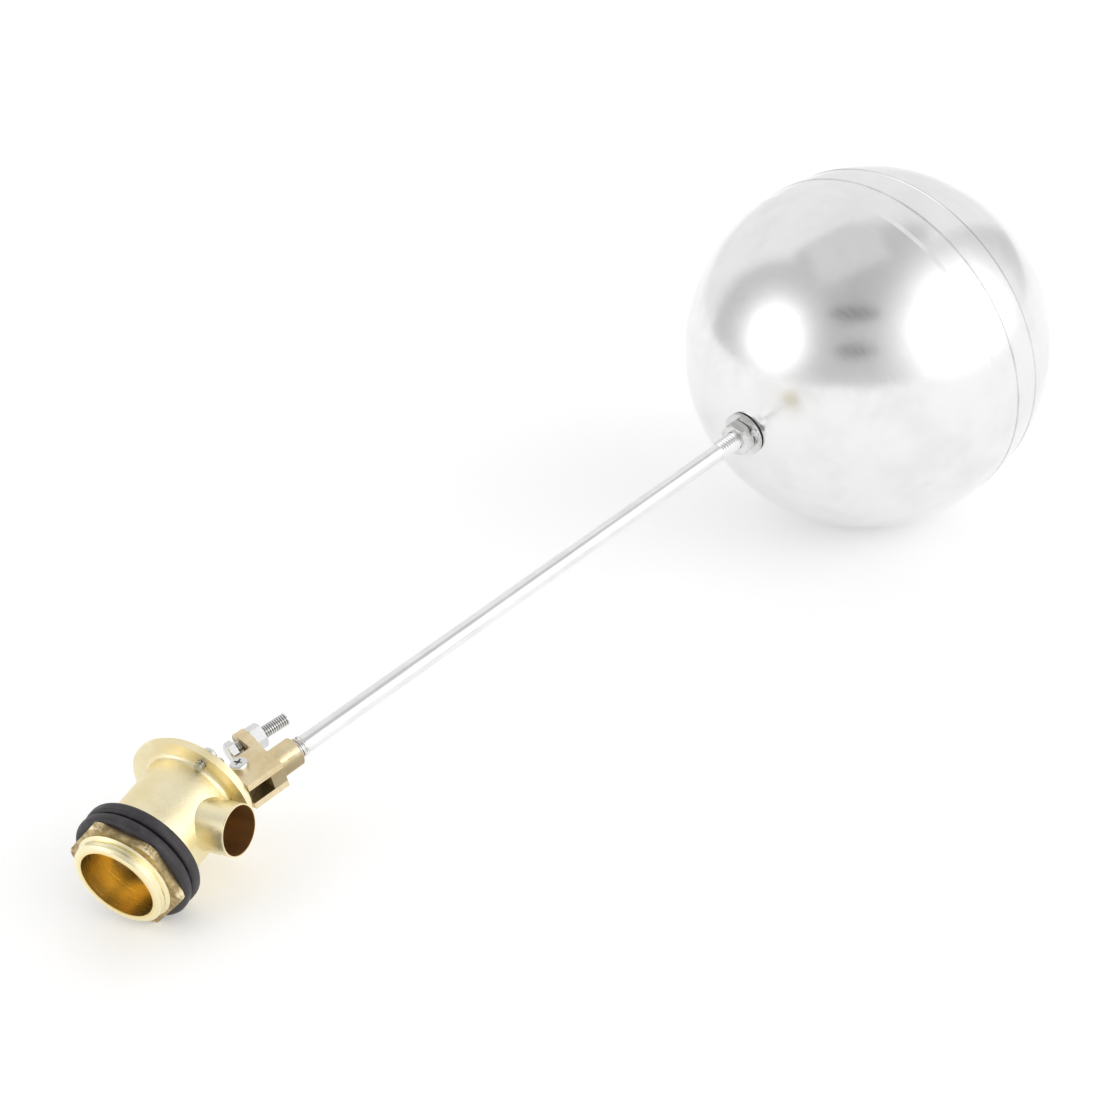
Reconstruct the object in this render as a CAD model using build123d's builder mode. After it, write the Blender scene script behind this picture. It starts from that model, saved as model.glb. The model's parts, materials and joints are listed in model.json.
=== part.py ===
"""Float valve: brass ball valve body, fork lever, stainless rod and hollow stainless float.

Frame: millimetres, as fitted to a tank wall.  The origin is the centre of the inlet mouth,
+X runs along the body into the tank, +Z is up and the outlet points down (-Z).
The lever turns about Y.  The model stands at the open stop, with the float hanging low.
"""
from build123d import *
import math
import os

os.makedirs("parts", exist_ok=True)

# ---------------------------------------------------------------- driving dimensions
# how far a cutter runs past the face it cuts, and how much a hole is over its screw
overshoot = 1.0
snug = 0.02
nut_clearance = 0.05

# inlet thread, G 1-1/4
thread_radius = 20.95
thread_root = 19.5
thread_pitch = 2.309
thread_ridges = 7
thread_start = 1.5
thread_end = 19.25
lead_crest_radius = 20.1
mouth_radius = 18.9
mouth_step = 0.7
mouth_step_radius = 19.85
inlet_bore_radius = 16.4

# cast body
barrel_radius = 20.0
collar_radius = 22.4
collar_end = 20.85
neck_fillet = 2.2
flange_radius = 28.0
flange_front = 51.05
flange_back = 53.25
chamber_radius = 17.0
seat_web_front = 25.75
seat_web_back = 29.25
seat_face = 30.45
seat_bore_radius = 9.0
seat_lip_radius = 10.6
seat_lip_flare = 1.2

# outlet spigot
spigot_x = 38.5
spigot_radius = 10.6
spigot_base_radius = 10.8
spigot_bore_radius = 10.0
spigot_mouth = -32.0
spigot_base = -17.5
spigot_bore_top = -13.7

# backnut and wall washers
nut_front = 4.95
nut_back = 8.5
nut_flats = 44.3
nut_chamfer = 0.7
nut_chamfer_start = 2.2
nut_chamfer_end = 3.5
nut_corner_angle = 107.0
washer_inner_radius = 21.15
washer_radius = 25.7
washer_edge_round = 1.9
near_washer_span = (8.55, 13.5)
far_washer_span = (13.8, 19.2)
far_washer_radius = 25.8

# cover, gasket and screws
cover_radius = 26.0
gasket_back = 53.85
cover_back = 55.75
guide_outer_radius = 6.5
guide_outer_end = 60.75
guide_inner_radius = 7.5
guide_inner_end = 42.0
ring_groove = (50.65, 52.55)
ring_groove_radius = 4.65
ring_play = 0.1
screw_circle_radius = 22.8
screw_first_angle = -148.0
screw_count = 3
screw_head_radius = 3.4
screw_head_height = 2.0
screw_head_round = 1.1
screw_recess_length = 3.2
screw_recess_width = 0.8
screw_recess_depth = 1.1
screw_tip = 48.5
screw_pitch = 0.7
screw_root = 1.65
m4_radius = 2.0
screw_hole_radius = 2.15

# lever pivot and rest angle
pivot_x = 65.05
pivot_z = -16.6
droop = -21.4
lug_half_width = 3.1
lug_tip_radius = 5.4
lug_base_low = -25.4
lug_base_high = -9.0
lug_low_angle = -37.0
lug_high_angle = 110.5
pivot_clearance = 0.05

# lever casting, measured from the pivot: s along the rod, n square to it
lever_half_width = 6.2
slot_half_width = 3.3
slot_end = 5.7
heel_s = -4.9
heel_n = -12.6
block_foot = 12.0
block_top_s = 12.6
block_top_n = 1.2
notch_round = 1.0
slot_height = 40.0
notch_floor = 6.4
notch_start = 3.0
pivot_end_radius = 4.6
arc_angle = 97.0
rod_n = -4.46
boss_radius = 6.4
boss_start = 10.1
boss_end = 22.9
boss_chamfer = 0.4
rod_hole_end = 12.6
rod_hole_radius = 4.78
rod_hole_flare = 0.7

# ear and adjusting bolt, M6, measured from the pivot: along the bolt, and square to it
bolt_tilt = -4.0
bolt_height = 18.25
ear_front = 9.0
ear_back = 13.6
ear_foot = 11.5
bolt_radius = 2.9
bolt_root = 2.4
bolt_pitch = 1.0
bolt_face = 3.0
bolt_head_height = 3.5
bolt_head_flats = 8.9
bolt_head_bevel = 0.8
bolt_bevel_rise = 0.5
bolt_corner_angle = 15
bolt_tip = 31.8
locknut_front = 13.7
locknut_height = 6.0
locknut_flats = 9.9

# pivot screw and nut, M4
pivot_head_radius = 3.9
pivot_head_height = 2.6
pivot_head_round = 1.4
pivot_recess_length = 3.8
pivot_recess_width = 0.9
pivot_recess_depth = 1.3
pivot_recess_turn = 25
pivot_nut_flats = 7.0
pivot_nut_height = 3.2
pivot_tip = 10.6

# stem and valve disc
stem_radius = 3.0
stem_clearance = 0.04
stem_travel = 4.6
stem_tip = 72.6
disc_thickness = 3.0
disc_radius = 12.2
holder_radius = 13.4
holder_back = 3.8
holder_skirt = 1.0
holder_shoulder = 1.8
holder_tip_radius = 5.6
holder_socket = 1.5
disc_screw_radius = 3.5
disc_screw_height = 2.0
disc_screw_bite = 1.4
disc_slot_width = 0.9
disc_slot_depth = 0.9

# float rod, 3/8-16 thread rolled on both ends
rod_radius = 4.14
rod_thread_radius = 4.7
rod_thread_root = 4.0
rod_pitch = 1.5875
rod_start = 13.0
rod_thread_1_end = 27.0
rod_thread_2_start = 277.5
rod_end = 303.0

# float
ball_radius = 90.0
ball_s = 386.5
shell_thickness = 0.8
band_depth = 0.35
band_front = -10.4
band_ramp = 1.4
band_back = 19.9
weld_front = 2.6
weld_back = 3.6
weld_depth = 0.22
rod_nut_front = 288.6
rod_nut_back = 294.6
rod_nut_flats = 15.0
rod_nut_corner_angle = 165.0
float_disc_radius = 10.9
float_disc_front = 294.9
float_sleeve_radius = 7.0
float_sleeve_end = 305.5
float_hole_end = 303.6
plug_radius = 2.2
plug_circle_radius = 10.0
plug_angle = -115.0
plug_height = 1.6
plug_round = 1.4

# ---------------------------------------------------------------- frames and helpers
side = Plane.XZ


def side_view(angle, height):
    """Side view of a bar on the lever: local x runs along the bar, which passes the pivot
    at the given height and is turned by the given angle above +X."""
    turn = math.radians(angle)
    return Plane(
        origin=(pivot_x - height * math.sin(turn), 0, pivot_z + height * math.cos(turn)),
        x_dir=(math.cos(turn), 0, math.sin(turn)),
        z_dir=(0, -1, 0),
    )


lever_side = side_view(droop, 0)
rod_side = side_view(droop, rod_n)
bolt_side = side_view(droop + bolt_tilt, bolt_height)


def lever_point(s, n):
    """Place (s, n) of the lever's own side view in the model frame."""
    return lever_side.from_local_coords((s, n, 0))


def from_bolt(along, height):
    """Place measured along the bolt and up from the pivot, in the lever's side view."""
    turn = math.radians(bolt_tilt)
    return (
        along * math.cos(turn) - height * math.sin(turn),
        along * math.sin(turn) + height * math.cos(turn),
    )


def square_to(bar, along):
    """Plane square to a bar: local x is +Y, local y is up from the bar, normal along it."""
    return Plane(origin=bar.from_local_coords((along, 0, 0)), x_dir=(0, 1, 0), z_dir=bar.x_dir)


def bar_axis(bar):
    """Centre line of a bar."""
    return Axis(origin=bar.origin, direction=bar.x_dir)


def across_body(x):
    """Plane square to the body axis at x: local x is +Y, local y is +Z, normal +X."""
    return Plane(origin=(x, 0, 0), x_dir=(0, 1, 0), z_dir=(1, 0, 0))


def ridged_profile(start, end, crest, root, pitch):
    """Half outline of a threaded bar lying along local x: a run of ridges on the root."""
    ridges = round((end - start) / pitch)
    step = (end - start) / ridges
    flank = 0.42 * step
    points = [(start, 0), (start, root)]
    for index in range(ridges):
        left = start + index * step
        points.append((left + flank, crest))
        points.append((left + step - flank, crest))
        points.append((left + step, root))
    points.append((end, 0))
    return points


def write(part, label):
    """Label one finished piece and write its STEP file."""
    part.label = label
    part.color = None
    export_step(part, f"parts/{label}.step")


def lug_rim(angle):
    """Point on the rounded end of the cover's lug, in the side view."""
    turn = math.radians(angle)
    return (
        pivot_x + lug_tip_radius * math.cos(turn),
        pivot_z + lug_tip_radius * math.sin(turn),
    )


def cross_recess(length, width, turn=0):
    """Cross of two slots in a screw head."""
    Rectangle(length, width, rotation=turn)
    Rectangle(width, length, rotation=turn)


def hex_circle(flats):
    """Radius of the circle through the corners of a hexagon."""
    return flats / math.sqrt(3)


screw_places = PolarLocations(
    screw_circle_radius, screw_count, start_angle=screw_first_angle
)

# ---------------------------------------------------------------- body
with BuildPart() as valve_body:
    with BuildSketch(side):
        with BuildLine():
            ridges_end = thread_start + thread_ridges * thread_pitch
            thread = ridged_profile(
                thread_start, ridges_end, thread_radius, thread_root, thread_pitch
            )
            Polyline(
                (0, 0),
                (0, mouth_radius),
                (mouth_step, mouth_step_radius),
                (thread_start - mouth_step / 2, mouth_step_radius),
                thread[1],
                (thread[2][0], lead_crest_radius),
                (thread[3][0], lead_crest_radius),
                *thread[4:-1],
                (thread_end, thread_root),
                (thread_end, collar_radius),
                (collar_end, collar_radius),
                (collar_end, barrel_radius),
                (flange_front, barrel_radius),
                (flange_front, flange_radius),
                (flange_back, flange_radius),
                (flange_back, 0),
                (0, 0),
            )
        make_face()
    revolve(axis=Axis.X)
    neck = (
        valve_body.edges()
        .filter_by(GeomType.CIRCLE)
        .filter_by(lambda edge: abs(edge.center().X - flange_front) < 0.01)
        .sort_by(SortBy.RADIUS)[0]
    )
    fillet(neck, neck_fillet)
    with BuildSketch(side):
        with BuildLine():
            Polyline(
                (spigot_x, 0),
                (spigot_x + spigot_base_radius, 0),
                (spigot_x + spigot_base_radius, spigot_base),
                (spigot_x + spigot_radius, spigot_mouth),
                (spigot_x, spigot_mouth),
                (spigot_x, 0),
            )
        make_face()
    revolve(axis=Axis(origin=(spigot_x, 0, 0), direction=(0, 0, 1)))
    with BuildSketch(side):
        with BuildLine():
            Polyline(
                (-overshoot, 0),
                (-overshoot, inlet_bore_radius),
                (seat_web_front, inlet_bore_radius),
                (seat_web_front, seat_bore_radius),
                (seat_face, seat_bore_radius),
                (seat_face, seat_lip_radius),
                (seat_web_back, seat_lip_radius + seat_lip_flare),
                (seat_web_back, chamber_radius),
                (flange_back + overshoot, chamber_radius),
                (flange_back + overshoot, 0),
                (-overshoot, 0),
            )
        make_face()
    revolve(axis=Axis.X, mode=Mode.SUBTRACT)
    with BuildSketch(Plane.XY.offset(spigot_mouth)):
        with Locations((spigot_x, 0)):
            Circle(spigot_bore_radius)
    extrude(amount=spigot_bore_top - spigot_mouth, mode=Mode.SUBTRACT)
    with BuildSketch(across_body(screw_tip - overshoot)):
        with screw_places:
            Circle(m4_radius + snug)
    extrude(amount=flange_back - screw_tip + 2 * overshoot, mode=Mode.SUBTRACT)
write(valve_body.part, "valve_body")

# ---------------------------------------------------------------- backnut and washers
with BuildPart() as backnut:
    with BuildSketch(across_body(nut_front)):
        RegularPolygon(hex_circle(nut_flats), 6, rotation=nut_corner_angle)
    extrude(amount=nut_back - nut_front)
    with BuildSketch(side):
        with BuildLine():
            Polyline(
                (nut_front, 0),
                (nut_front, nut_flats / 2 + nut_chamfer_start),
                (nut_front + nut_chamfer, nut_flats / 2 + nut_chamfer_end),
                (nut_back - nut_chamfer, nut_flats / 2 + nut_chamfer_end),
                (nut_back, nut_flats / 2 + nut_chamfer_start),
                (nut_back, 0),
                (nut_front, 0),
            )
        make_face()
    revolve(axis=Axis.X, mode=Mode.INTERSECT)
    with BuildSketch(across_body(nut_front - overshoot)):
        Circle(thread_radius + nut_clearance)
    extrude(amount=nut_back - nut_front + 2 * overshoot, mode=Mode.SUBTRACT)
write(backnut.part, "backnut")


def washer(span, radius, label):
    """Rubber wall washer with both rim edges rounded."""
    with BuildPart() as ring:
        with BuildSketch(across_body(span[0])):
            Circle(radius)
            Circle(washer_inner_radius, mode=Mode.SUBTRACT)
        extrude(amount=span[1] - span[0])
        rims = ring.edges().filter_by(GeomType.CIRCLE).group_by(SortBy.RADIUS)[-1]
        fillet(rims, washer_edge_round)
    write(ring.part, label)


washer(near_washer_span, washer_radius, "wall_washer_outer")
washer(far_washer_span, far_washer_radius, "wall_washer_inner")

# ---------------------------------------------------------------- cover group
with BuildPart() as cover_gasket:
    with BuildSketch(across_body(flange_back)):
        Circle(cover_radius)
        Circle(chamber_radius, mode=Mode.SUBTRACT)
        with screw_places:
            Circle(screw_hole_radius, mode=Mode.SUBTRACT)
    extrude(amount=gasket_back - flange_back)
write(cover_gasket.part, "cover_gasket")

with BuildPart() as cover:
    with BuildSketch(side):
        with BuildLine():
            Polyline(
                (guide_inner_end, 0),
                (guide_inner_end, guide_inner_radius),
                (gasket_back, guide_inner_radius),
                (gasket_back, cover_radius),
                (cover_back, cover_radius),
                (cover_back, guide_outer_radius),
                (guide_outer_end, guide_outer_radius),
                (guide_outer_end, 0),
                (guide_inner_end, 0),
            )
        make_face()
    revolve(axis=Axis.X)
    with BuildSketch(side):
        with BuildLine():
            Polyline(
                (gasket_back, lug_base_low),
                (cover_back, lug_base_low),
                lug_rim(lug_low_angle),
                (pivot_x, pivot_z),
                lug_rim(lug_high_angle),
                (cover_back, lug_base_high),
                (gasket_back, lug_base_high),
                (gasket_back, lug_base_low),
            )
        make_face()
        with Locations((pivot_x, pivot_z)):
            Circle(lug_tip_radius)
    extrude(amount=lug_half_width, both=True)
    with BuildSketch(side):
        with Locations((pivot_x, pivot_z)):
            Circle(m4_radius + pivot_clearance)
    extrude(amount=lug_half_width + overshoot, both=True, mode=Mode.SUBTRACT)
    with BuildSketch(across_body(guide_inner_end - overshoot)):
        Circle(stem_radius + stem_clearance)
    extrude(amount=guide_outer_end - guide_inner_end + 2 * overshoot, mode=Mode.SUBTRACT)
    with BuildSketch(across_body(ring_groove[0])):
        Circle(ring_groove_radius)
    extrude(amount=ring_groove[1] - ring_groove[0], mode=Mode.SUBTRACT)
    with BuildSketch(across_body(gasket_back - overshoot)):
        with screw_places:
            Circle(screw_hole_radius)
    extrude(amount=cover_back - gasket_back + 2 * overshoot, mode=Mode.SUBTRACT)
write(cover.part, "cover")

with BuildPart() as stem_o_ring:
    ring_section = (ring_groove_radius - stem_radius - ring_play) / 2
    ring_middle = (ring_groove[0] + ring_groove[1]) / 2
    with BuildSketch(side):
        with Locations((ring_middle, stem_radius + snug + ring_section)):
            Circle(ring_section)
    revolve(axis=Axis.X)
write(stem_o_ring.part, "stem_o_ring")

with BuildPart() as cover_screws:
    with BuildSketch(across_body(screw_tip)):
        with screw_places:
            Circle(screw_root)
    extrude(amount=flange_front - screw_tip)
    for ring in range(int((flange_front - screw_tip) / screw_pitch)):
        with BuildSketch(across_body(screw_tip + (ring + 0.25) * screw_pitch)):
            with screw_places:
                Circle(m4_radius)
        extrude(amount=0.5 * screw_pitch)
    with BuildSketch(across_body(flange_front)):
        with screw_places:
            Circle(m4_radius)
    extrude(amount=cover_back - flange_front)
    with BuildSketch(across_body(cover_back)):
        with screw_places:
            Circle(screw_head_radius)
    extrude(amount=screw_head_height)
    tops = cover_screws.edges().filter_by(GeomType.CIRCLE).group_by(Axis.X)[-1]
    fillet(tops, screw_head_round)
    with BuildSketch(across_body(cover_back + screw_head_height)):
        with screw_places:
            cross_recess(screw_recess_length, screw_recess_width)
    extrude(amount=-screw_recess_depth, mode=Mode.SUBTRACT)
write(cover_screws.part, "cover_screws")

# ---------------------------------------------------------------- stem and valve disc
disc_front = seat_face + stem_travel
disc_back = disc_front + disc_thickness
holder_end = disc_back + holder_back
stem_foot = disc_back + holder_socket

with BuildPart() as valve_stem:
    with BuildSketch(side):
        with BuildLine():
            Polyline(
                (stem_tip, 0),
                (stem_foot, 0),
                (stem_foot, stem_radius),
                (stem_tip - stem_radius, stem_radius),
            )
            CenterArc((stem_tip - stem_radius, 0), stem_radius, 0, 90)
        make_face()
    revolve(axis=Axis.X)
write(valve_stem.part, "valve_stem")

with BuildPart() as disc_holder:
    with BuildSketch(side):
        with BuildLine():
            Polyline(
                (disc_front + holder_skirt, disc_radius + snug),
                (disc_front + holder_skirt, holder_radius),
                (disc_back + holder_shoulder, holder_radius),
                (holder_end, holder_tip_radius),
                (holder_end, 0),
                (disc_back, 0),
                (disc_back, disc_radius + snug),
                (disc_front + holder_skirt, disc_radius + snug),
            )
        make_face()
    revolve(axis=Axis.X)
    with BuildSketch(across_body(disc_back - overshoot)):
        Circle(m4_radius + snug)
    extrude(amount=holder_socket + overshoot, mode=Mode.SUBTRACT)
    with BuildSketch(across_body(stem_foot)):
        Circle(stem_radius + snug)
    extrude(amount=holder_back, mode=Mode.SUBTRACT)
write(disc_holder.part, "disc_holder")

with BuildPart() as valve_disc:
    with BuildSketch(across_body(disc_front)):
        Circle(disc_radius)
        Circle(m4_radius + nut_clearance, mode=Mode.SUBTRACT)
    extrude(amount=disc_thickness)
write(valve_disc.part, "valve_disc")

with BuildPart() as disc_screw:
    with BuildSketch(across_body(disc_front - disc_screw_height)):
        Circle(disc_screw_radius)
    extrude(amount=disc_screw_height)
    with BuildSketch(across_body(disc_front)):
        Circle(m4_radius)
    extrude(amount=disc_thickness + disc_screw_bite)
    with BuildSketch(across_body(disc_front - disc_screw_height)):
        Rectangle(2 * (disc_screw_radius + overshoot), disc_slot_width)
    extrude(amount=disc_slot_depth, mode=Mode.SUBTRACT)
write(disc_screw.part, "disc_screw")

# ---------------------------------------------------------------- lever casting
arc_top = (
    pivot_end_radius * math.cos(math.radians(arc_angle)),
    pivot_end_radius * math.sin(math.radians(arc_angle)),
)
ear_top = bolt_height + lever_half_width
notch_corner = ear_front + notch_floor * math.tan(math.radians(-bolt_tilt))

with BuildPart() as lever:
    with BuildSketch(lever_side):
        with BuildLine():
            Polyline(
                (-pivot_end_radius, 0),
                (heel_s, heel_n),
                (block_foot, heel_n),
                (block_top_s, block_top_n),
                from_bolt(ear_back, ear_foot),
                from_bolt(ear_back, ear_top),
                from_bolt(ear_front, ear_top),
                (notch_corner, notch_floor),
                (notch_start, notch_floor),
                arc_top,
            )
            CenterArc((0, 0), pivot_end_radius, arc_angle, 180 - arc_angle)
        make_face()
    extrude(amount=lever_half_width, both=True)
    inner_corner = (
        lever.edges()
        .filter_by(Axis.Y)
        .sort_by_distance(lever_point(notch_corner, notch_floor))[0]
    )
    fillet(inner_corner, notch_round)
    with BuildSketch(square_to(bolt_side, ear_front - overshoot)):
        with Locations((0, lever_half_width)):
            Rectangle(4 * lever_half_width, 2 * lever_half_width)
        Circle(lever_half_width, mode=Mode.SUBTRACT)
    extrude(amount=ear_back - ear_front + 2 * overshoot, mode=Mode.SUBTRACT)
    with BuildSketch(square_to(rod_side, boss_start)):
        Circle(boss_radius)
    extrude(amount=boss_end - boss_start)
    boss_rim = (
        lever.edges()
        .filter_by(GeomType.CIRCLE)
        .sort_by_distance(lever_point(boss_end, rod_n + boss_radius))[0]
    )
    chamfer(boss_rim, boss_chamfer)
    with BuildSketch(lever_side):
        with Locations(((slot_end + 2 * heel_s) / 2, 0)):
            Rectangle(slot_end - 2 * heel_s, slot_height)
    extrude(amount=slot_half_width, both=True, mode=Mode.SUBTRACT)
    with BuildSketch(square_to(rod_side, rod_hole_end)):
        Circle(rod_hole_radius)
    extrude(amount=boss_end - rod_hole_end, mode=Mode.SUBTRACT)
    hole_rim = (
        lever.edges()
        .filter_by(GeomType.CIRCLE)
        .sort_by_distance(lever_point(boss_end, rod_n + rod_hole_radius))[0]
    )
    chamfer(hole_rim, rod_hole_flare)
    with BuildSketch(square_to(bolt_side, ear_front - overshoot)):
        Circle(bolt_radius + nut_clearance)
    extrude(amount=ear_back - ear_front + 2 * overshoot, mode=Mode.SUBTRACT)
    with BuildSketch(lever_side):
        Circle(m4_radius + snug)
    extrude(amount=lever_half_width + overshoot, both=True, mode=Mode.SUBTRACT)
write(lever.part, "lever")

# ---------------------------------------------------------------- pivot screw and nut
near_face = lever_side.offset(lever_half_width)
far_face = Plane(
    origin=(pivot_x, lever_half_width, pivot_z), x_dir=lever_side.x_dir, z_dir=(0, 1, 0)
)

with BuildPart() as pivot_screw:
    with BuildSketch(near_face):
        Circle(pivot_head_radius)
    extrude(amount=pivot_head_height)
    top = pivot_screw.edges().filter_by(GeomType.CIRCLE).sort_by(Axis.Y)[0]
    fillet(top, pivot_head_round)
    with BuildSketch(near_face.offset(pivot_head_height)):
        cross_recess(pivot_recess_length, pivot_recess_width, pivot_recess_turn)
    extrude(amount=-pivot_recess_depth, mode=Mode.SUBTRACT)
    with BuildSketch(near_face):
        Circle(m4_radius)
    extrude(amount=-(lever_half_width + pivot_tip))
write(pivot_screw.part, "pivot_screw")

with BuildPart() as pivot_nut:
    with BuildSketch(far_face):
        RegularPolygon(hex_circle(pivot_nut_flats), 6)
        Circle(m4_radius + snug, mode=Mode.SUBTRACT)
    extrude(amount=pivot_nut_height)
write(pivot_nut.part, "pivot_nut")

# ---------------------------------------------------------------- adjusting bolt
with BuildPart() as adjusting_bolt:
    with BuildSketch(square_to(bolt_side, bolt_face)):
        RegularPolygon(hex_circle(bolt_head_flats), 6, rotation=bolt_corner_angle)
    extrude(amount=bolt_head_height)
    with BuildSketch(bolt_side):
        with BuildLine():
            Polyline(
                (bolt_face, 0),
                (bolt_face, bolt_head_flats / 2 - bolt_bevel_rise),
                (bolt_face + bolt_head_bevel, bolt_head_flats / 2 + bolt_bevel_rise),
                (bolt_face + bolt_head_height, bolt_head_flats / 2 + bolt_bevel_rise),
                (bolt_face + bolt_head_height, 0),
                (bolt_face, 0),
            )
        make_face()
    revolve(axis=bar_axis(bolt_side), mode=Mode.INTERSECT)
    with BuildSketch(bolt_side):
        with BuildLine():
            outline = ridged_profile(
                bolt_face + bolt_head_height, bolt_tip, bolt_radius, bolt_root, bolt_pitch
            )
            Polyline(*outline, close=True)
        make_face()
    revolve(axis=bar_axis(bolt_side))
write(adjusting_bolt.part, "adjusting_bolt")


def hex_nut(bar, front, back, flats, corner_angle, bore, label):
    """Hexagon nut on a bar, both faces turned to a cone."""
    cone = 0.08 * flats
    face_radius = flats / 2 - 0.1
    corner_radius = 0.6 * flats
    with BuildPart() as nut:
        with BuildSketch(square_to(bar, front)):
            RegularPolygon(hex_circle(flats), 6, rotation=corner_angle)
        extrude(amount=back - front)
        with BuildSketch(bar):
            with BuildLine():
                Polyline(
                    (front, 0),
                    (front, face_radius),
                    (front + cone, corner_radius),
                    (back - cone, corner_radius),
                    (back, face_radius),
                    (back, 0),
                    (front, 0),
                )
            make_face()
        revolve(axis=bar_axis(bar), mode=Mode.INTERSECT)
        with BuildSketch(square_to(bar, front - overshoot)):
            Circle(bore)
        extrude(amount=back - front + 2 * overshoot, mode=Mode.SUBTRACT)
    write(nut.part, label)


hex_nut(
    bolt_side,
    locknut_front,
    locknut_front + locknut_height,
    locknut_flats,
    bolt_corner_angle,
    bolt_radius + nut_clearance,
    "adjusting_locknut",
)
hex_nut(
    rod_side,
    rod_nut_front,
    rod_nut_back,
    rod_nut_flats,
    rod_nut_corner_angle,
    rod_hole_radius,
    "rod_locknut",
)

# ---------------------------------------------------------------- rod
rod_axis = bar_axis(rod_side)

with BuildPart() as float_rod:
    with BuildSketch(rod_side):
        with BuildLine():
            lever_end = ridged_profile(
                rod_start, rod_thread_1_end, rod_thread_radius, rod_thread_root, rod_pitch
            )
            float_end = ridged_profile(
                rod_thread_2_start, rod_end, rod_thread_radius, rod_thread_root, rod_pitch
            )
            shank = [(rod_thread_1_end, rod_radius), (rod_thread_2_start, rod_radius)]
            Polyline(*(lever_end[:-1] + shank + float_end[1:]), close=True)
        make_face()
    revolve(axis=rod_axis)
write(float_rod.part, "float_rod")

# ---------------------------------------------------------------- float
pole_s = ball_s - ball_radius
band_radius = ball_radius - band_depth
inner_radius = ball_radius - shell_thickness
sleeve_hole_radius = float_sleeve_radius + nut_clearance


def ball_point(radius, offset):
    """Point of the ball's side view: offset along the rod axis from the ball's centre."""
    return (ball_s + offset, math.sqrt(radius**2 - offset**2))


def ball_arc(radius, first, last):
    """Arc of the ball's side view between two offsets from its centre."""
    return ThreePointArc(
        ball_point(radius, first), ball_point(radius, (first + last) / 2), ball_point(radius, last)
    )


with BuildPart() as float_front_shell:
    outer_hole = -math.sqrt(ball_radius**2 - sleeve_hole_radius**2)
    inner_hole = -math.sqrt(inner_radius**2 - sleeve_hole_radius**2)
    with BuildSketch(rod_side):
        with BuildLine():
            ramp_top = band_front - band_ramp
            ramp_foot = band_front + band_ramp
            ball_arc(ball_radius, outer_hole, ramp_top)
            Line(ball_point(ball_radius, ramp_top), ball_point(band_radius, ramp_foot))
            ball_arc(band_radius, ramp_foot, weld_front)
            Line(ball_point(band_radius, weld_front), ball_point(inner_radius, weld_front))
            ball_arc(inner_radius, weld_front, inner_hole)
            Line(ball_point(inner_radius, inner_hole), ball_point(ball_radius, outer_hole))
        make_face()
    revolve(axis=rod_axis)
write(float_front_shell.part, "float_front_shell")

with BuildPart() as float_rear_shell:
    with BuildSketch(rod_side):
        with BuildLine():
            ball_arc(band_radius, weld_back, band_back)
            Line(ball_point(band_radius, band_back), ball_point(ball_radius, band_back))
            ball_arc(ball_radius, band_back, ball_radius)
            Line(ball_point(ball_radius, ball_radius), ball_point(inner_radius, inner_radius))
            ball_arc(inner_radius, inner_radius, weld_back)
            Line(ball_point(inner_radius, weld_back), ball_point(band_radius, weld_back))
        make_face()
    revolve(axis=rod_axis)
write(float_rear_shell.part, "float_rear_shell")

with BuildPart() as float_weld:
    bead_radius = ball_radius - weld_depth
    with BuildSketch(rod_side):
        with BuildLine():
            ball_arc(bead_radius, weld_front, weld_back)
            Line(ball_point(bead_radius, weld_back), ball_point(inner_radius, weld_back))
            ball_arc(inner_radius, weld_back, weld_front)
            Line(ball_point(inner_radius, weld_front), ball_point(bead_radius, weld_front))
        make_face()
    revolve(axis=rod_axis)
write(float_weld.part, "float_weld")

with BuildPart() as float_boss:
    with BuildSketch(square_to(rod_side, float_disc_front)):
        Circle(float_disc_radius)
    extrude(amount=pole_s - nut_clearance - float_disc_front)
    with BuildSketch(square_to(rod_side, float_disc_front)):
        Circle(float_sleeve_radius)
    extrude(amount=float_sleeve_end - float_disc_front)
    with BuildSketch(square_to(rod_side, float_disc_front - overshoot)):
        Circle(rod_hole_radius)
    extrude(amount=float_hole_end - float_disc_front + overshoot, mode=Mode.SUBTRACT)
write(float_boss.part, "float_boss")

with BuildPart() as float_test_plug:
    with BuildSketch(square_to(rod_side, float_disc_front - plug_height)):
        with PolarLocations(plug_circle_radius, 1, start_angle=plug_angle):
            Circle(plug_radius)
    extrude(amount=plug_height)
    plug_top = (
        float_test_plug.edges()
        .filter_by(GeomType.CIRCLE)
        .sort_by_distance(lever_point(0, 0))[0]
    )
    fillet(plug_top, plug_round)
write(float_test_plug.part, "float_test_plug")
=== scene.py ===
"""Looks for the float valve: materials, thread and casting detail, light, table and camera."""
import json
import math

import bpy
from mathutils import Matrix, Vector


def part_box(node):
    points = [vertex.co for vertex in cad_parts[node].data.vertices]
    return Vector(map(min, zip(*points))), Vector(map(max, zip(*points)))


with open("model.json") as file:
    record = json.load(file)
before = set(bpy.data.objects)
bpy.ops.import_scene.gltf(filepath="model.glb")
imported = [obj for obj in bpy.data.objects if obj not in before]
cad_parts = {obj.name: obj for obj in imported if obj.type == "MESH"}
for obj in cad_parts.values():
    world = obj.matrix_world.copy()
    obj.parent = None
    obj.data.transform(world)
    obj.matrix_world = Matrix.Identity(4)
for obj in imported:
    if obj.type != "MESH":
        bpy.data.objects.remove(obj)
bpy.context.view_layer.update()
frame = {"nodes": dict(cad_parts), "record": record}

NODES = frame["nodes"]
MM = 0.001

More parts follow.
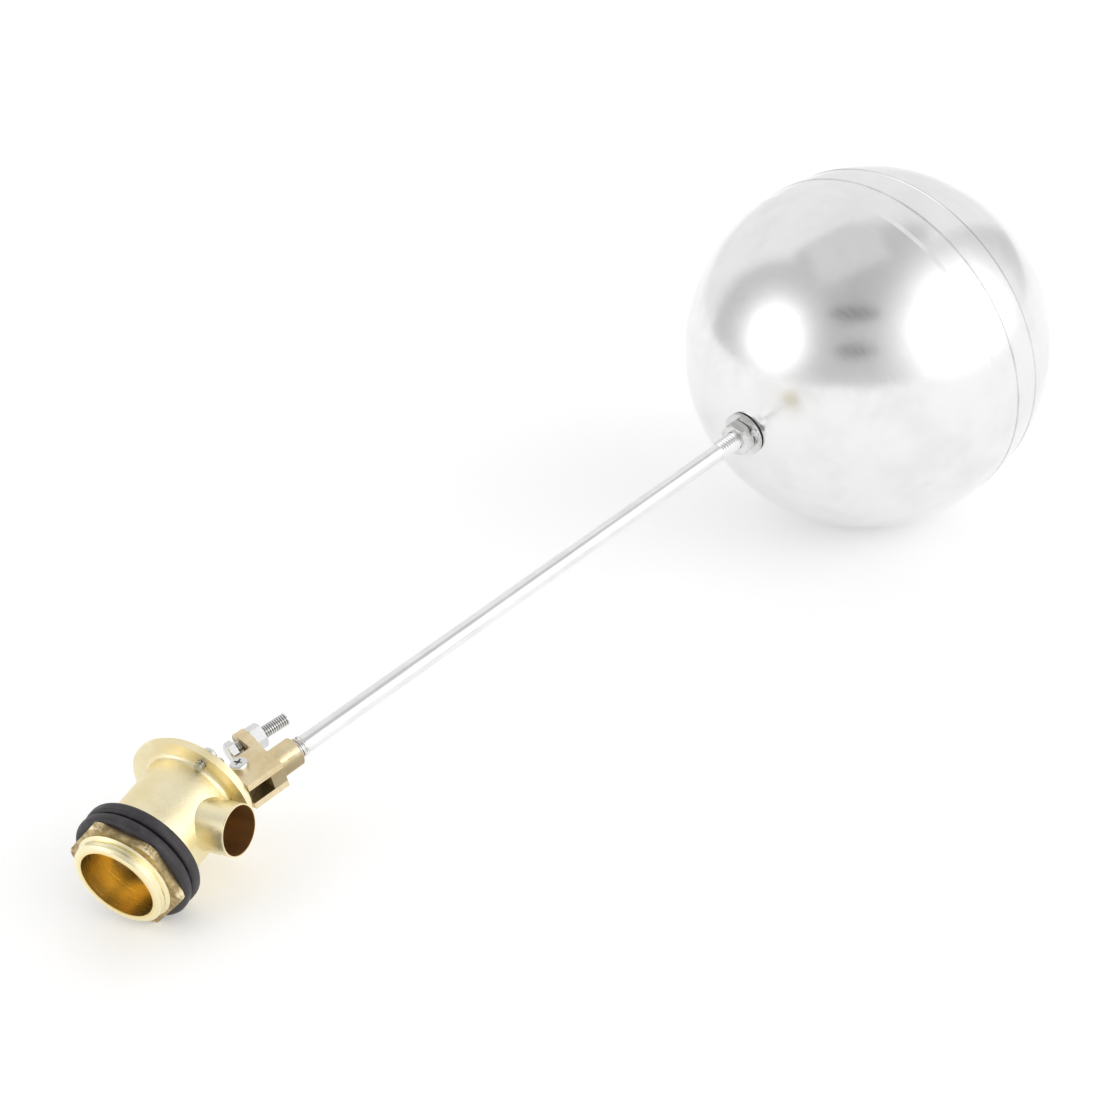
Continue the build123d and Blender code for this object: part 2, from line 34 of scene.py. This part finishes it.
# ---------------------------------------------------------------- camera
# Directions are in the row frame: +X into the tank, +Z up as fitted, +Y away from the camera.
CAMERA_PLACE = Vector((-0.33355, -0.4595, -0.4466))
CAMERA_RIGHT = Vector((0.4262, 0.1903, -0.8844)).normalized()
CAMERA_BACK = Vector((-0.6921, -0.5610, -0.4542)).normalized()
CAMERA_UP = CAMERA_BACK.cross(CAMERA_RIGHT).normalized()
CAMERA_LENS = 59.31
SENSOR_WIDTH = 36.0


def make_camera():
    """Camera at the viewing angle, held by three directions instead of angles."""
    data = bpy.data.cameras.new("camera")
    data.lens = CAMERA_LENS
    data.sensor_width = SENSOR_WIDTH
    data.clip_start = 0.01
    data.clip_end = 20.0
    camera = bpy.data.objects.new("camera", data)
    bpy.context.scene.collection.objects.link(camera)
    axes = Matrix((CAMERA_BACK.cross(CAMERA_UP) * -1, CAMERA_UP, CAMERA_BACK)).transposed()
    camera.matrix_world = Matrix.Translation(CAMERA_PLACE) @ axes.to_4x4()
    bpy.context.scene.camera = camera


# ---------------------------------------------------------------- shader helpers
class Shader:
    """A node tree under construction, with short calls for the nodes used here."""

    def __init__(self, tree):
        self.tree = tree
        self.nodes = tree.nodes
        self.nodes.clear()

    def add(self, kind, **values):
        node = self.nodes.new(kind)
        for name, value in values.items():
            setattr(node, name, value)
        return node

    def link(self, source, target):
        self.tree.links.new(source, target)

    def feed(self, socket, value):
        """Set a socket from a number, a colour or another node's output."""
        if isinstance(value, bpy.types.NodeSocket):
            self.link(value, socket)
        elif isinstance(value, (tuple, list)) and len(value) == 3 and socket.type == "RGBA":
            socket.default_value = (*value, 1.0)
        else:
            socket.default_value = value

    def math(self, operation, *values, clamp=False):
        node = self.add("ShaderNodeMath", operation=operation, use_clamp=clamp)
        for socket, value in zip(node.inputs, values):
            self.feed(socket, value)
        return node.outputs[0]

    def square(self, value):
        return self.math("MULTIPLY", value, value)

    def root_of_squares(self, first, second):
        total = self.math("ADD", self.square(first), self.square(second))
        return self.math("SQRT", total)

    def dot(self, vector, direction):
        node = self.add("ShaderNodeVectorMath", operation="DOT_PRODUCT")
        self.link(vector, node.inputs[0])
        node.inputs[1].default_value = tuple(direction)
        return node.outputs["Value"]

    def ramp(self, value, low, high, start=0.0, end=1.0):
        """Smooth step of value between low and high, from start to end."""
        node = self.add("ShaderNodeMapRange", interpolation_type="SMOOTHSTEP")
        for socket, number in zip(node.inputs, (value, low, high, start, end)):
            self.feed(socket, number)
        return node.outputs[0]

    def mix(self, factor, first, second):
        node = self.add("ShaderNodeMix", data_type="RGBA")
        self.feed(node.inputs["Factor"], factor)
        self.feed(node.inputs["A"], first)
        self.feed(node.inputs["B"], second)
        return node.outputs["Result"]

    def noise(self, coords, scale, detail=3.0, roughness=0.55, stretch=None):
        if stretch is not None:
            mapping = self.add("ShaderNodeMapping")
            self.link(coords, mapping.inputs["Vector"])
            mapping.inputs["Scale"].default_value = stretch
            coords = mapping.outputs["Vector"]
        node = self.add("ShaderNodeTexNoise")
        self.link(coords, node.inputs["Vector"])
        node.inputs["Scale"].default_value = scale
        node.inputs["Detail"].default_value = detail
        node.inputs["Roughness"].default_value = roughness
        return node.outputs["Fac"]

    def bump(self, height, strength, distance, normal=None):
        node = self.add("ShaderNodeBump")
        node.inputs["Strength"].default_value = strength
        node.inputs["Distance"].default_value = distance
        self.feed(node.inputs["Height"], height)
        if normal is not None:
            self.link(normal, node.inputs["Normal"])
        return node.outputs["Normal"]


def new_material(name):
    """A material with its shader helper and the piece's own coordinates, in metres."""
    material = bpy.data.materials.new(name)
    material.use_nodes = True
    shader = Shader(material.node_tree)
    coords = shader.add("ShaderNodeTexCoord").outputs["Object"]
    return material, shader, coords


def finish_material(shader, color, metallic, roughness, normal=None, **extra):
    surface = shader.add("ShaderNodeBsdfPrincipled")
    shader.feed(surface.inputs["Base Color"], color)
    shader.feed(surface.inputs["Metallic"], metallic)
    shader.feed(surface.inputs["Roughness"], roughness)
    for name, value in extra.items():
        shader.feed(surface.inputs[name.replace("_", " ")], value)
    if normal is not None:
        shader.link(normal, surface.inputs["Normal"])
    output = shader.add("ShaderNodeOutputMaterial")
    shader.link(surface.outputs[0], output.inputs["Surface"])
    return surface


def split(shader, coords):
    node = shader.add("ShaderNodeSeparateXYZ")
    shader.link(coords, node.inputs[0])
    return node.outputs[0], node.outputs[1], node.outputs[2]


def axis_radius(shader, coords):
    """Place along the body axis and distance from it."""
    x, y, z = split(shader, coords)
    return x, shader.root_of_squares(y, z)


# ---------------------------------------------------------------- materials
# where one finish of the body ends and the next begins, as distances from an axis
BORE_EDGE = (17.3 * MM, 17.6 * MM)
SKIN_EDGE = (18.0 * MM, 18.3 * MM)
SPIGOT_BORE_EDGE = (10.1 * MM, 10.2 * MM)
SPIGOT_BORE_TOP = (-10 * MM, -9 * MM)
LIP_BAND = (0.15 * MM, 0.45 * MM)
COLLAR_BLEND = 0.2 * MM
# half width of the lever's slot, whose inside gets painted shade
SLOT_HALF_WIDTH = 3.3 * MM
# reach of the painted shade in thread roots and other hollows
THREAD_HOLLOW = 0.8 * MM

CAST_PALE = (0.96, 0.88, 0.62)
CAST_DEEP = (0.88, 0.76, 0.46)
MACHINED_BRASS = (0.95, 0.86, 0.56)
BORE_BRASS = (0.96, 0.78, 0.38)
SPIGOT_BROWN = (0.52, 0.31, 0.13)
LEVER_PALE = (0.84, 0.72, 0.48)
LEVER_DEEP = (0.72, 0.58, 0.34)
CAST_PIT = (0.66, 0.50, 0.24)
WASHER_BLACK = (0.022, 0.019, 0.022)
GASKET_BLACK = (0.045, 0.045, 0.048)
NUT_EDGE = (0.92, 0.80, 0.52)
STEEL_PALE = (0.90, 0.90, 0.90)
STEEL_GREY = (0.83, 0.83, 0.83)
ZINC_PALE = (0.76, 0.76, 0.76)
ZINC_GREY = (0.68, 0.68, 0.68)
NUT_BROWN = (0.31, 0.23, 0.11)
NUT_WORN = (0.60, 0.47, 0.25)
NUT_STEEL_GREY = (0.66, 0.66, 0.65)
WELD_PALE = (0.72, 0.72, 0.71)
WELD_GREY = (0.58, 0.58, 0.58)
FLOAT_PALE = (0.86, 0.86, 0.86)
FLOAT_GREY = (0.80, 0.80, 0.80)
FLOAT_SPECK = (0.45, 0.45, 0.45)


def node_centre(name):
    low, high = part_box(name)
    return (low + high) / 2


def float_box():
    """Low and high corners of the box around both shells of the float."""
    lows, highs = zip(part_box("float_front_shell"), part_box("float_rear_shell"))
    low = Vector([min(values) for values in zip(*lows)])
    high = Vector([max(values) for values in zip(*highs)])
    return low, high


def ball_centre():
    low, high = float_box()
    return (low + high) / 2


def ball_radius():
    """Full radius of the float, which its box shows along X but not along Y.

    The band at the seam is a little smaller, and it is widest along Y.
    """
    low, high = float_box()
    return (high.x - low.x) / 2


def rod_axis():
    """Direction of the float rod, from its middle to the middle of the float."""
    return (ball_centre() - node_centre("float_rod")).normalized()


def streaks(s, coords, axis, stretch, scale, detail=3.0):
    """Noise drawn out by the three factors along and across an axis of the part."""
    side = axis.cross(Vector((0, 1, 0))).normalized()
    other = axis.cross(side)
    combined = s.add("ShaderNodeCombineXYZ")
    for socket, direction, factor in zip(combined.inputs, (axis, side, other), stretch):
        s.link(s.math("MULTIPLY", s.dot(coords, direction), factor), socket)
    return s.noise(combined.outputs[0], scale, detail)


def spigot_distance(s, x, y):
    """Distance from the outlet spigot's axis, which the record's outlet mount gives."""
    outlet = next(m for m in frame["record"]["mounts"] if m["name"] == "outlet_way")
    across = s.math("SUBTRACT", x, outlet["pos_m"][0])
    return s.root_of_squares(across, y)


def cast_brass():
    """Sand-cast skin outside; turned brass at the thread, mouth, bores and spigot lip."""
    material, s, coords = new_material("cast_brass")
    x, radius = axis_radius(s, coords)
    _, y, z = split(s, coords)
    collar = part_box("wall_washer_inner")[1].x
    lip_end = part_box("valve_body")[0].z
    beyond_thread = s.ramp(x, collar, collar + COLLAR_BLEND)
    outside = s.ramp(radius, *SKIN_EDGE)
    in_spigot = s.math(
        "MULTIPLY",
        s.ramp(spigot_distance(s, x, y), *SPIGOT_BORE_EDGE, 1.0, 0.0),
        s.ramp(z, *SPIGOT_BORE_TOP, 1.0, 0.0),
    )
    lip = s.ramp(z, lip_end + LIP_BAND[0], lip_end + LIP_BAND[1], 1.0, 0.0)
    not_turned = s.math("SUBTRACT", 1.0, s.math("MAXIMUM", in_spigot, lip))
    is_cast = s.math("MULTIPLY", s.math("MULTIPLY", outside, beyond_thread), not_turned)

    pebbles = s.noise(coords, 1500.0, 2.0)
    lumps = s.noise(coords, 560.0, 2.0)
    broad = s.noise(coords, 45.0, 3.0)
    skin = s.mix(s.ramp(broad, 0.35, 0.70), CAST_PALE, CAST_DEEP)
    skin = s.mix(s.ramp(pebbles, 0.28, 0.50, 0.18, 0.0), skin, CAST_PIT)
    in_bore = s.ramp(radius, *BORE_EDGE, 1.0, 0.0)
    turned = s.mix(in_bore, MACHINED_BRASS, BORE_BRASS)
    turned = s.mix(in_spigot, turned, SPIGOT_BROWN)
    color = s.mix(is_cast, turned, skin)

    cast_rough = s.ramp(pebbles, 0.3, 0.7, 0.30, 0.46)
    rings = s.noise(coords, 300.0, 2.0, stretch=(6.0, 0.2, 0.2))
    turned_rough = s.ramp(rings, 0.3, 0.7, 0.20, 0.28)
    turned_rough = s.math("ADD", turned_rough, s.math("MULTIPLY", in_spigot, 0.25))
    kept_cast = s.math("MULTIPLY", cast_rough, is_cast)
    kept_turned = s.math("MULTIPLY", turned_rough, s.math("SUBTRACT", 1.0, is_cast))
    rough = s.math("ADD", kept_cast, kept_turned)
    skin_height = s.math("ADD", s.math("MULTIPLY", pebbles, 0.7), s.math("MULTIPLY", lumps, 0.6))
    height = s.math("MULTIPLY", skin_height, is_cast)
    height = s.math("ADD", height, s.math("MULTIPLY", rings, 0.008))
    normal = s.bump(height, 0.7, 0.16 * MM)
    finish_material(s, color, 1.0, rough, normal)
    return material


def shade_in_hollows(s, reach):
    """Mask for painted shade: one in a hollow such as a thread's root, falling to zero on open
    faces.
    """
    node = s.add("ShaderNodeAmbientOcclusion", only_local=True)
    node.inputs["Distance"].default_value = reach
    return s.ramp(node.outputs["AO"], 0.35, 0.85, 1.0, 0.0)


def worked_metal(name, pale, deep, roughness, axis, stretch, scale, depth, painted_shade=0.0, slot=0.0):
    """Metal with machining lines drawn along or around an axis, and a slow colour drift.

    A painted-shade factor darkens the hollows; slot is the half width of a slot about the XZ plane,
    darkened with painted shade.
    """
    material, s, coords = new_material(name)
    drift = s.noise(coords, 90.0, 4.0)
    lines = streaks(s, coords, axis, stretch, scale)
    color = s.mix(s.ramp(drift, 0.3, 0.7), pale, deep)
    # painted shade: thread roots and other hollows darkened by ambient occlusion
    if painted_shade:
        shade_tone = tuple(0.30 * c for c in deep)
        color = s.mix(s.math("MULTIPLY", shade_in_hollows(s, THREAD_HOLLOW), painted_shade), color, shade_tone)
    # painted shade inside the lever's slot, between its two arms
    if slot:
        _, y, _ = split(s, coords)
        slot_shade = s.ramp(s.math("ABSOLUTE", y), slot + 0.02 * MM, slot + 0.10 * MM, 1.0, 0.0)
        color = s.mix(s.math("MULTIPLY", slot_shade, 0.8), color, tuple(0.45 * c for c in deep))
    color = s.mix(s.ramp(lines, 0.25, 0.5, 0.25, 0.0), color, tuple(0.6 * c for c in deep))
    rough = s.ramp(lines, 0.25, 0.75, roughness * 0.75, roughness * 1.3)
    normal = s.bump(lines, 1.0, depth)
    finish_material(s, color, 1.0, rough, normal)
    return material


def tarnished_brass():
    """Darkened hexagon with brighter rubbed places."""
    material, s, coords = new_material("tarnished_brass")
    blotch = s.noise(coords, 330.0, 5.0, 0.68)
    broad = s.noise(coords, 75.0, 3.0)
    mixed = s.math("ADD", s.math("MULTIPLY", blotch, 0.65), s.math("MULTIPLY", broad, 0.35))
    color = s.mix(s.ramp(mixed, 0.40, 0.62), NUT_BROWN, NUT_WORN)
    _, radius = axis_radius(s, coords)
    worn = s.ramp(radius, 23.4 * MM, 24.8 * MM)
    worn = s.math("MULTIPLY", worn, s.ramp(blotch, 0.40, 0.60))
    color = s.mix(worn, color, NUT_EDGE)
    normal = s.bump(blotch, 0.5, 0.12 * MM)
    finish_material(s, color, 0.95, s.ramp(mixed, 0.4, 0.6, 0.48, 0.30), normal)
    return material


def rubber(name, tone):
    """Moulded rubber with a fine matt skin and pale dust."""
    material, s, coords = new_material(name)
    grain = s.noise(coords, 1100.0, 3.0)
    dust = s.noise(coords, 160.0, 6.0, 0.65)
    pale = tuple(channel * 2.0 + 0.015 for channel in tone)
    color = s.mix(s.ramp(dust, 0.45, 0.75), tone, pale)
    normal = s.bump(grain, 0.5, 0.08 * MM)
    finish_material(s, color, 0.0, s.ramp(dust, 0.3, 0.7, 0.40, 0.60), normal)
    return material


def spun_steel():
    """Buffed sheet: faint rings around the rod, slow waviness and soft stains."""
    material, s, coords = new_material("polished_steel")
    rings = streaks(s, coords, rod_axis(), (1.0, 0.05, 0.05), 1800.0)
    waves = s.noise(coords, 22.0, 2.0)
    stains = s.noise(coords, 45.0, 5.0, 0.6)
    specks = s.noise(coords, 420.0, 2.0)
    color = s.mix(s.ramp(stains, 0.35, 0.75), FLOAT_PALE, FLOAT_GREY)
    color = s.mix(s.ramp(specks, 0.74, 0.80, 0.0, 0.35), color, FLOAT_SPECK)
    rough = s.ramp(rings, 0.25, 0.75, 0.15, 0.21)
    rough = s.math("ADD", rough, s.ramp(stains, 0.3, 0.8, 0.0, 0.05))
    normal = s.bump(waves, 1.0, 0.16 * MM)
    normal = s.bump(rings, 1.0, 0.0006 * MM, normal)
    finish_material(s, color, 1.0, rough, normal)
    return material


def dress(names, material):
    for name in names:
        slots = NODES[name].data.materials
        slots.clear()
        slots.append(material)


def make_materials():
    body_axis = Vector((1, 0, 0))
    along = rod_axis()
    around = (1.0, 0.04, 0.04)
    lengthwise = (0.02, 1.0, 1.0)
    dress(["valve_body"], cast_brass())
    dress(["backnut"], tarnished_brass())
    dress(["wall_washer_outer", "wall_washer_inner"], rubber("black_rubber", WASHER_BLACK))
    dress(["cover_gasket", "stem_o_ring", "valve_disc"], rubber("gasket_rubber", GASKET_BLACK))
    turned = worked_metal(
        "cover_brass", MACHINED_BRASS, CAST_DEEP, 0.32, body_axis, around, 1500.0, 0.01 * MM
    )
    dress(["cover", "disc_holder"], turned)
    milled = worked_metal(
        "lever_brass", LEVER_PALE, LEVER_DEEP, 0.40, along, (1.0, 1.0, 0.12), 900.0, 0.03 * MM,
        # painted shade inside the lever's slot
        slot=SLOT_HALF_WIDTH,
    )
    dress(["lever"], milled)
    zinc = worked_metal(
        "bright_zinc", ZINC_PALE, ZINC_GREY, 0.22, along, (1.0, 1.0, 1.0), 1600.0, 0.006 * MM,
        # painted shade in the thread roots of the screws, bolt and nuts
        painted_shade=0.8,
    )
    dress(["cover_screws", "pivot_screw", "pivot_nut", "adjusting_bolt", "adjusting_locknut"], zinc)
    bar = worked_metal(
        "stainless_bar", STEEL_PALE, STEEL_GREY, 0.20, along, lengthwise, 1500.0, 0.006 * MM
    )
    dress(["float_rod"], bar)
    ground = worked_metal(
        "stem_steel", STEEL_PALE, STEEL_GREY, 0.22, body_axis, around, 1500.0, 0.006 * MM
    )
    dress(["valve_stem", "disc_screw"], ground)
    nut = worked_metal(
        "stainless_nut", STEEL_GREY, NUT_STEEL_GREY, 0.22, along, around, 1300.0, 0.01 * MM
    )
    dress(["rod_locknut", "float_boss"], nut)
    weld = worked_metal(
        "weld_steel", WELD_PALE, WELD_GREY, 0.34, along, (1.0, 1.0, 1.0), 1400.0, 0.05 * MM
    )
    dress(["float_test_plug", "float_weld"], weld)
    dress(["float_front_shell", "float_rear_shell"], spun_steel())


# ---------------------------------------------------------------- table
# The valve lies on the table on its +Y side.  The normal points from the table to the valve.
TABLE_NORMAL = Vector((0.1437, -0.989, -0.0286)).normalized()
TABLE_MIDDLE = Vector((0.2, 0, -0.07))
TABLE_HALF = 6.0
TABLE_GAP = 0.1 * MM
PAPER_WHITE = (0.93, 0.93, 0.93, 1)
PAPER_GLOW = 0.20


def table_height():
    """Place of the table along its normal, just under the washer and the ball at rest."""
    low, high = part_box("wall_washer_outer")
    washer_radius = (high.z - low.z) / 2
    slant = math.sqrt(1 - TABLE_NORMAL.x**2)
    under_washer = TABLE_NORMAL.x * low.x - washer_radius * slant
    under_ball = TABLE_NORMAL.dot(ball_centre()) - ball_radius()
    return min(under_washer, under_ball) - TABLE_GAP


def make_table():
    """White paper, seen only from the valve's side so that views from behind stay open."""
    mesh = bpy.data.meshes.new("table")
    side = TABLE_NORMAL.orthogonal().normalized()
    other = TABLE_NORMAL.cross(side)
    in_plane = TABLE_MIDDLE - TABLE_NORMAL * TABLE_NORMAL.dot(TABLE_MIDDLE)
    centre = TABLE_NORMAL * table_height() + in_plane
    corners = [
        centre + side * (TABLE_HALF * a) + other * (TABLE_HALF * b)
        for a, b in ((-1, -1), (1, -1), (1, 1), (-1, 1))
    ]
    mesh.from_pydata(corners, [], [(0, 1, 2, 3)])
    table = bpy.data.objects.new("table", mesh)
    bpy.context.scene.collection.objects.link(table)
    material = bpy.data.materials.new("table_paper")
    material.use_nodes = True
    s = Shader(material.node_tree)
    paper = s.add("ShaderNodeBsdfDiffuse")
    paper.inputs["Color"].default_value = PAPER_WHITE
    glow = s.add("ShaderNodeEmission")
    glow.inputs["Strength"].default_value = PAPER_GLOW
    both = s.add("ShaderNodeAddShader")
    s.link(paper.outputs[0], both.inputs[0])
    s.link(glow.outputs[0], both.inputs[1])
    clear = s.add("ShaderNodeBsdfTransparent")
    facing = s.add("ShaderNodeNewGeometry").outputs["Backfacing"]
    mixed = s.add("ShaderNodeMixShader")
    s.link(facing, mixed.inputs[0])
    s.link(both.outputs[0], mixed.inputs[1])
    s.link(clear.outputs[0], mixed.inputs[2])
    output = s.add("ShaderNodeOutputMaterial")
    s.link(mixed.outputs[0], output.inputs["Surface"])
    mesh.materials.append(material)


# ---------------------------------------------------------------- light
class Studio:
    """Lays the studio out by where each lamp shows on the float, as on a mirror ball.

    (u, v) is a place on the ball's face as the camera sees it, from -1 to 1 each way.
    """

    def __init__(self, shader):
        self.s = shader
        toward = (CAMERA_PLACE - ball_centre()).normalized()
        right = (CAMERA_RIGHT - toward * toward.dot(CAMERA_RIGHT)).normalized()
        up = toward.cross(right)
        direction = shader.add("ShaderNodeTexCoord").outputs["Generated"]
        half = shader.add("ShaderNodeVectorMath", operation="ADD")
        shader.link(direction, half.inputs[0])
        half.inputs[1].default_value = tuple(toward)
        unit = shader.add("ShaderNodeVectorMath", operation="NORMALIZE")
        shader.link(half.outputs[0], unit.inputs[0])
        self.u = shader.dot(unit.outputs[0], right)
        self.v = shader.dot(unit.outputs[0], up)

    def distance(self, centre, radii):
        """Distance from a place on the ball, counted in the two radii."""
        s = self.s
        across = s.math("DIVIDE", s.math("SUBTRACT", self.u, centre[0]), radii[0])
        along = s.math("DIVIDE", s.math("SUBTRACT", self.v, centre[1]), radii[1])
        return s.root_of_squares(across, along)

    def ellipse(self, centre, radii, soft):
        return self.s.ramp(self.distance(centre, radii), 1 - soft, 1 + soft, 1.0, 0.0)

    def glow(self, centre, radii):
        far = self.distance(centre, radii)
        return self.s.math("EXPONENT", self.s.math("MULTIPLY", self.s.square(far), -1.0))

    def box(self, centre, half, soft, turn=0.0):
        """Soft-edged rectangle, turned anticlockwise by turn radians."""
        s = self.s
        du = s.math("SUBTRACT", self.u, centre[0])
        dv = s.math("SUBTRACT", self.v, centre[1])
        cos, sin = math.cos(turn), math.sin(turn)
        across = s.math("ADD", s.math("MULTIPLY", du, cos), s.math("MULTIPLY", dv, sin))
        along = s.math("ADD", s.math("MULTIPLY", du, -sin), s.math("MULTIPLY", dv, cos))
        inside_a = s.ramp(s.math("ABSOLUTE", across), half[0] - soft, half[0] + soft, 1.0, 0.0)
        inside_b = s.ramp(s.math("ABSOLUTE", along), half[1] - soft, half[1] + soft, 1.0, 0.0)
        return s.math("MULTIPLY", inside_a, inside_b)

    def blend(self, value, mask, level):
        """Move value towards level where the mask is on."""
        s = self.s
        kept = s.math("MULTIPLY", value, s.math("SUBTRACT", 1.0, mask))
        return s.math("ADD", kept, s.math("MULTIPLY", mask, level))


# brightness of each part of the studio
SURROUND, ROOM, SHADE, HAZE, PANEL, SPOT = 1.15, 0.74, 0.60, 0.78, 0.90, 0.28
LEFT_LAMP, RIGHT_LAMP = 2.2, 2.8
# dark openings seen between the lamps: place and radii of each
SPOTS = (((-0.055, 0.185), (0.14, 0.04)), ((-0.045, -0.012), (0.115, 0.035)))
CEILING_SLOPE = 0.53
CEILING_EDGE = (-0.74, -0.70)
VEIL = 0.7


def make_world():
    """White studio: pale surround, two umbrella lamps, a grey room between and a ceiling panel."""
    world = bpy.data.worlds.new("studio")
    bpy.context.scene.world = world
    world.use_nodes = True
    s = Shader(world.node_tree)
    studio = Studio(s)
    left_dome = studio.ellipse((-0.46, 0.0), (0.37, 0.47), 0.11)
    right_dome = studio.ellipse((0.60, 0.05), (0.50, 0.60), 0.11)
    room = studio.box((-0.03, 0.12), (0.35, 0.54), 0.03)
    under_ceiling = s.math("SUBTRACT", s.math("MULTIPLY", studio.u, CEILING_SLOPE), studio.v)
    room = s.math("MULTIPLY", room, s.ramp(under_ceiling, *CEILING_EDGE))
    inside = s.math("MAXIMUM", s.math("MAXIMUM", left_dome, right_dome), room)
    value = s.ramp(inside, 0.0, 1.0, SURROUND, ROOM)
    shade = studio.ellipse((0.12, 0.36), (0.26, 0.22), 0.5)
    value = studio.blend(value, s.math("MULTIPLY", shade, VEIL), SHADE)
    haze = studio.ellipse((-0.03, -0.14), (0.25, 0.16), 0.5)
    value = studio.blend(value, s.math("MULTIPLY", haze, VEIL), HAZE)
    panel = studio.box((-0.10, 0.51), (0.20, 0.115), 0.02, 0.42)
    value = studio.blend(value, panel, PANEL)
    for centre, radii in SPOTS:
        value = studio.blend(value, studio.ellipse(centre, radii, 0.22), SPOT)
    left_lamp = studio.glow((-0.47, 0.06), (0.145, 0.17))
    value = s.math("ADD", value, s.math("MULTIPLY", left_lamp, LEFT_LAMP))
    right_lamp = studio.glow((0.50, 0.13), (0.25, 0.28))
    value = s.math("ADD", value, s.math("MULTIPLY", right_lamp, RIGHT_LAMP))
    background = s.add("ShaderNodeBackground")
    s.link(value, background.inputs["Strength"])
    output = s.add("ShaderNodeOutputWorld")
    s.link(background.outputs[0], output.inputs["Surface"])


# ---------------------------------------------------------------- scene
bpy.context.scene.view_settings.view_transform = "Standard"
make_camera()
make_materials()
make_table()
make_world()
